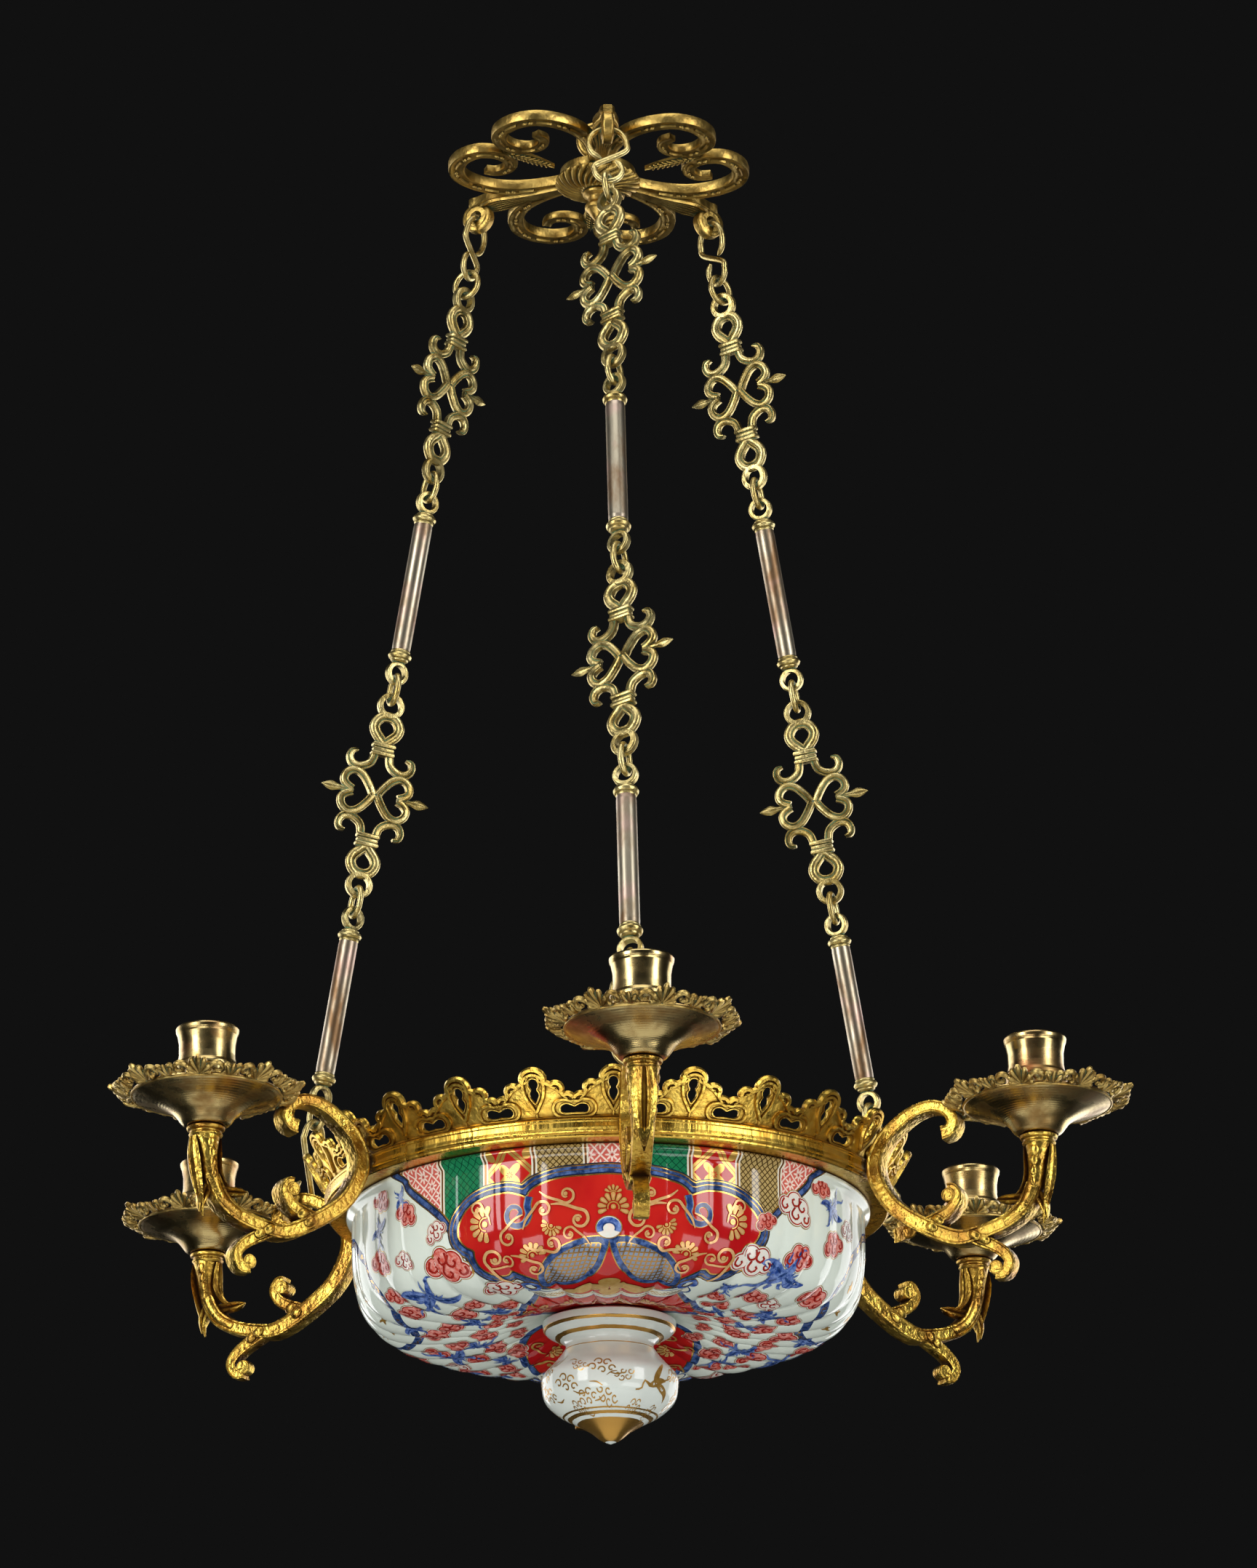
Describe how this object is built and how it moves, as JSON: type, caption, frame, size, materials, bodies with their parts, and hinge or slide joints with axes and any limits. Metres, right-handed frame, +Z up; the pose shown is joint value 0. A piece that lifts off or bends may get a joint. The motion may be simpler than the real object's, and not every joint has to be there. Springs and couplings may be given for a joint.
{
  "type": "chandelier",
  "caption": "Hanging chandelier with a decorated porcelain bowl in a pierced gilt gallery, scrolled arms with drip pans and candle cups, hung by ornamental chains from a scrolled plate.",
  "frame": {"origin": "the top of the hole in the suspension eye, where the ceiling hook bears", "axes": "+Z up along the chandelier, -Y toward the front arm, which the front chain hooks on"},
  "size_m": [0.5328, 0.5946, 0.7887],
  "materials": {
    "gilt_bronze": "cast and chased bronze, fire gilt, brown in the recesses",
    "chain_brass": "cast and turned brass, worn and green in the recesses",
    "turned_brass": "turned and lacquered brass with fine lathe lines",
    "porcelain": "glazed porcelain painted in blue, iron red, green and gold",
    "iron": "plain forged rod"
  },
  "bodies": {
    "ceiling_frame": {"suspension_eye": "gilt_bronze", "ceiling_plate": "gilt_bronze", "rosette": "gilt_bronze", "plate_knob": "gilt_bronze"},
    "bowl_frame": {"rim_band": "gilt_bronze", "gallery": "gilt_bronze", "bowl": "porcelain", "porcelain_finial": "porcelain", "tie_bolt": "iron", "arm_1": "gilt_bronze", "drip_pan_1": "turned_brass", "arm_2": "gilt_bronze", "drip_pan_2": "turned_brass", "arm_3": "gilt_bronze", "drip_pan_3": "turned_brass", "arm_4": "gilt_bronze", "drip_pan_4": "turned_brass", "arm_5": "gilt_bronze", "drip_pan_5": "turned_brass", "arm_6": "gilt_bronze", "drip_pan_6": "turned_brass"},
    "chain_front": {"top_s_hook_front": "chain_brass", "top_ring_front": "chain_brass", "upper_link_ring_front": "chain_brass", "middle_ring_front": "chain_brass", "lower_link_ring_front": "chain_brass", "foot_ring_front": "chain_brass", "foot_s_hook_front": "chain_brass"},
    "upper_link_front": {"upper_link_front": "chain_brass"},
    "upper_rod_front": {"upper_rod_front": "chain_brass"},
    "lower_link_front": {"lower_link_front": "chain_brass"},
    "lower_rod_front": {"lower_rod_front": "chain_brass"},
    "chain_right": {"top_s_hook_right": "chain_brass", "top_ring_right": "chain_brass", "upper_link_ring_right": "chain_brass", "middle_ring_right": "chain_brass", "lower_link_ring_right": "chain_brass", "foot_ring_right": "chain_brass", "foot_s_hook_right": "chain_brass"},
    "upper_link_right": {"upper_link_right": "chain_brass"},
    "upper_rod_right": {"upper_rod_right": "chain_brass"},
    "lower_link_right": {"lower_link_right": "chain_brass"},
    "lower_rod_right": {"lower_rod_right": "chain_brass"},
    "chain_left": {"top_s_hook_left": "chain_brass", "top_ring_left": "chain_brass", "upper_link_ring_left": "chain_brass", "middle_ring_left": "chain_brass", "lower_link_ring_left": "chain_brass", "foot_ring_left": "chain_brass", "foot_s_hook_left": "chain_brass"},
    "upper_link_left": {"upper_link_left": "chain_brass"},
    "upper_rod_left": {"upper_rod_left": "chain_brass"},
    "lower_link_left": {"lower_link_left": "chain_brass"},
    "lower_rod_left": {"lower_rod_left": "chain_brass"},
    "candle_cup_1": {"candle_cup_1": "turned_brass"},
    "candle_cup_2": {"candle_cup_2": "turned_brass"},
    "candle_cup_3": {"candle_cup_3": "turned_brass"},
    "candle_cup_4": {"candle_cup_4": "turned_brass"},
    "candle_cup_5": {"candle_cup_5": "turned_brass"},
    "candle_cup_6": {"candle_cup_6": "turned_brass"}
  },
  "joints": [
    {"name": "bowl_swing", "type": "hinge", "parent": "ceiling_frame", "child": "bowl_frame", "pos_m": [0, 0, 0.37096], "axis": [1, 0, 0], "range_deg": [-1.5, 1.5]},
    {"name": "chain_swing_front", "type": "hinge", "parent": "ceiling_frame", "child": "chain_front", "pos_m": [0, -0.0784, -0.0398], "axis": [1, 0, 0], "range_deg": [-2.6, 2.6]},
    {"name": "upper_link_turn_front", "type": "hinge", "parent": "chain_front", "child": "upper_link_front", "pos_m": [0, -0.0784, -0.0398], "axis": [0, 0.1875, 0.9823], "range_deg": [-6, 6]},
    {"name": "upper_rod_turn_front", "type": "hinge", "parent": "chain_front", "child": "upper_rod_front", "pos_m": [0, -0.0784, -0.0398], "axis": [0, 0.1875, 0.9823], "range_deg": [-6, 6]},
    {"name": "lower_link_turn_front", "type": "hinge", "parent": "chain_front", "child": "lower_link_front", "pos_m": [0, -0.0784, -0.0398], "axis": [0, 0.1875, 0.9823], "range_deg": [-6, 6]},
    {"name": "lower_rod_turn_front", "type": "hinge", "parent": "chain_front", "child": "lower_rod_front", "pos_m": [0, -0.0784, -0.0398], "axis": [0, 0.1875, 0.9823], "range_deg": [-6, 6]},
    {"name": "chain_swing_right", "type": "hinge", "parent": "ceiling_frame", "child": "chain_right", "pos_m": [0.0679, 0.0392, -0.0398], "axis": [1, 0, 0], "range_deg": [-2.6, 2.6]},
    {"name": "upper_link_turn_right", "type": "hinge", "parent": "chain_right", "child": "upper_link_right", "pos_m": [0.0679, 0.0392, -0.0398], "axis": [-0.1624, -0.0937, 0.9823], "range_deg": [-6, 6]},
    {"name": "upper_rod_turn_right", "type": "hinge", "parent": "chain_right", "child": "upper_rod_right", "pos_m": [0.0679, 0.0392, -0.0398], "axis": [-0.1624, -0.0937, 0.9823], "range_deg": [-6, 6]},
    {"name": "lower_link_turn_right", "type": "hinge", "parent": "chain_right", "child": "lower_link_right", "pos_m": [0.0679, 0.0392, -0.0398], "axis": [-0.1624, -0.0937, 0.9823], "range_deg": [-6, 6]},
    {"name": "lower_rod_turn_right", "type": "hinge", "parent": "chain_right", "child": "lower_rod_right", "pos_m": [0.0679, 0.0392, -0.0398], "axis": [-0.1624, -0.0937, 0.9823], "range_deg": [-6, 6]},
    {"name": "chain_swing_left", "type": "hinge", "parent": "ceiling_frame", "child": "chain_left", "pos_m": [-0.0679, 0.0392, -0.0398], "axis": [1, 0, 0], "range_deg": [-2.6, 2.6]},
    {"name": "upper_link_turn_left", "type": "hinge", "parent": "chain_left", "child": "upper_link_left", "pos_m": [-0.0679, 0.0392, -0.0398], "axis": [0.1624, -0.0937, 0.9823], "range_deg": [-6, 6]},
    {"name": "upper_rod_turn_left", "type": "hinge", "parent": "chain_left", "child": "upper_rod_left", "pos_m": [-0.0679, 0.0392, -0.0398], "axis": [0.1624, -0.0937, 0.9823], "range_deg": [-6, 6]},
    {"name": "lower_link_turn_left", "type": "hinge", "parent": "chain_left", "child": "lower_link_left", "pos_m": [-0.0679, 0.0392, -0.0398], "axis": [0.1624, -0.0937, 0.9823], "range_deg": [-6, 6]},
    {"name": "lower_rod_turn_left", "type": "hinge", "parent": "chain_left", "child": "lower_rod_left", "pos_m": [-0.0679, 0.0392, -0.0398], "axis": [0.1624, -0.0937, 0.9823], "range_deg": [-6, 6]},
    {"name": "candle_cup_1_turn", "type": "hinge", "parent": "bowl_frame", "child": "candle_cup_1", "pos_m": [0, -0.25, -0.5943], "axis": [0, 0, 1], "range_deg": [-180, 180]},
    {"name": "candle_cup_2_turn", "type": "hinge", "parent": "bowl_frame", "child": "candle_cup_2", "pos_m": [0.21651, -0.125, -0.5943], "axis": [0, 0, 1], "range_deg": [-180, 180]},
    {"name": "candle_cup_3_turn", "type": "hinge", "parent": "bowl_frame", "child": "candle_cup_3", "pos_m": [0.21651, 0.125, -0.5943], "axis": [0, 0, 1], "range_deg": [-180, 180]},
    {"name": "candle_cup_4_turn", "type": "hinge", "parent": "bowl_frame", "child": "candle_cup_4", "pos_m": [0, 0.25, -0.5943], "axis": [0, 0, 1], "range_deg": [-180, 180]},
    {"name": "candle_cup_5_turn", "type": "hinge", "parent": "bowl_frame", "child": "candle_cup_5", "pos_m": [-0.21651, 0.125, -0.5943], "axis": [0, 0, 1], "range_deg": [-180, 180]},
    {"name": "candle_cup_6_turn", "type": "hinge", "parent": "bowl_frame", "child": "candle_cup_6", "pos_m": [-0.21651, -0.125, -0.5943], "axis": [0, 0, 1], "range_deg": [-180, 180]}
  ],
  "couplings": [
    {"joint": "chain_swing_front", "follows": "bowl_swing", "ratio": 1.693},
    {"joint": "chain_swing_right", "follows": "bowl_swing", "ratio": 1.693},
    {"joint": "chain_swing_left", "follows": "bowl_swing", "ratio": 1.693}
  ]
}
